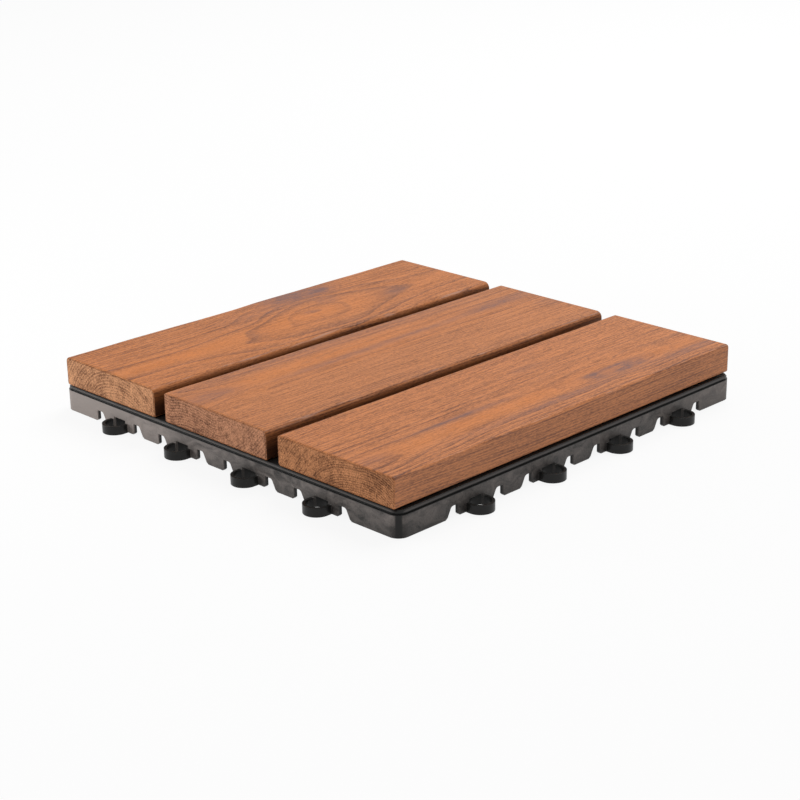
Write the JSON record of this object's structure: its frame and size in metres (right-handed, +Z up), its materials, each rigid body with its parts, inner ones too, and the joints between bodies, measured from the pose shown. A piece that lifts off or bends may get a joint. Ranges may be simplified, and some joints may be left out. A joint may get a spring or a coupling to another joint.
{
  "type": "interlocking deck tile",
  "caption": "Square outdoor deck tile: planed softwood boards screwed side by side on a black moulded base with notched skirts, loops and pegs for its neighbours.",
  "frame": {"origin": "centre of the tile's square on the ground plane, at the foot under its middle", "axes": "+Z up; Y along the boards; loops on the -Y and +X sides, pegs on the +Y and -X sides"},
  "size_m": [0.3147, 0.3147, 0.0353],
  "materials": {
    "black_plastic": "dull black moulded plastic",
    "left_board_wood": "planed and stained softwood",
    "middle_board_wood": "planed and stained softwood",
    "right_board_wood": "planed and stained softwood",
    "screw_steel": "zinc-plated steel"
  },
  "bodies": {
    "root": {"base": "black_plastic", "left_board": "left_board_wood", "middle_board": "middle_board_wood", "right_board": "right_board_wood", "board_screws": "screw_steel"}
  },
  "joints": []
}
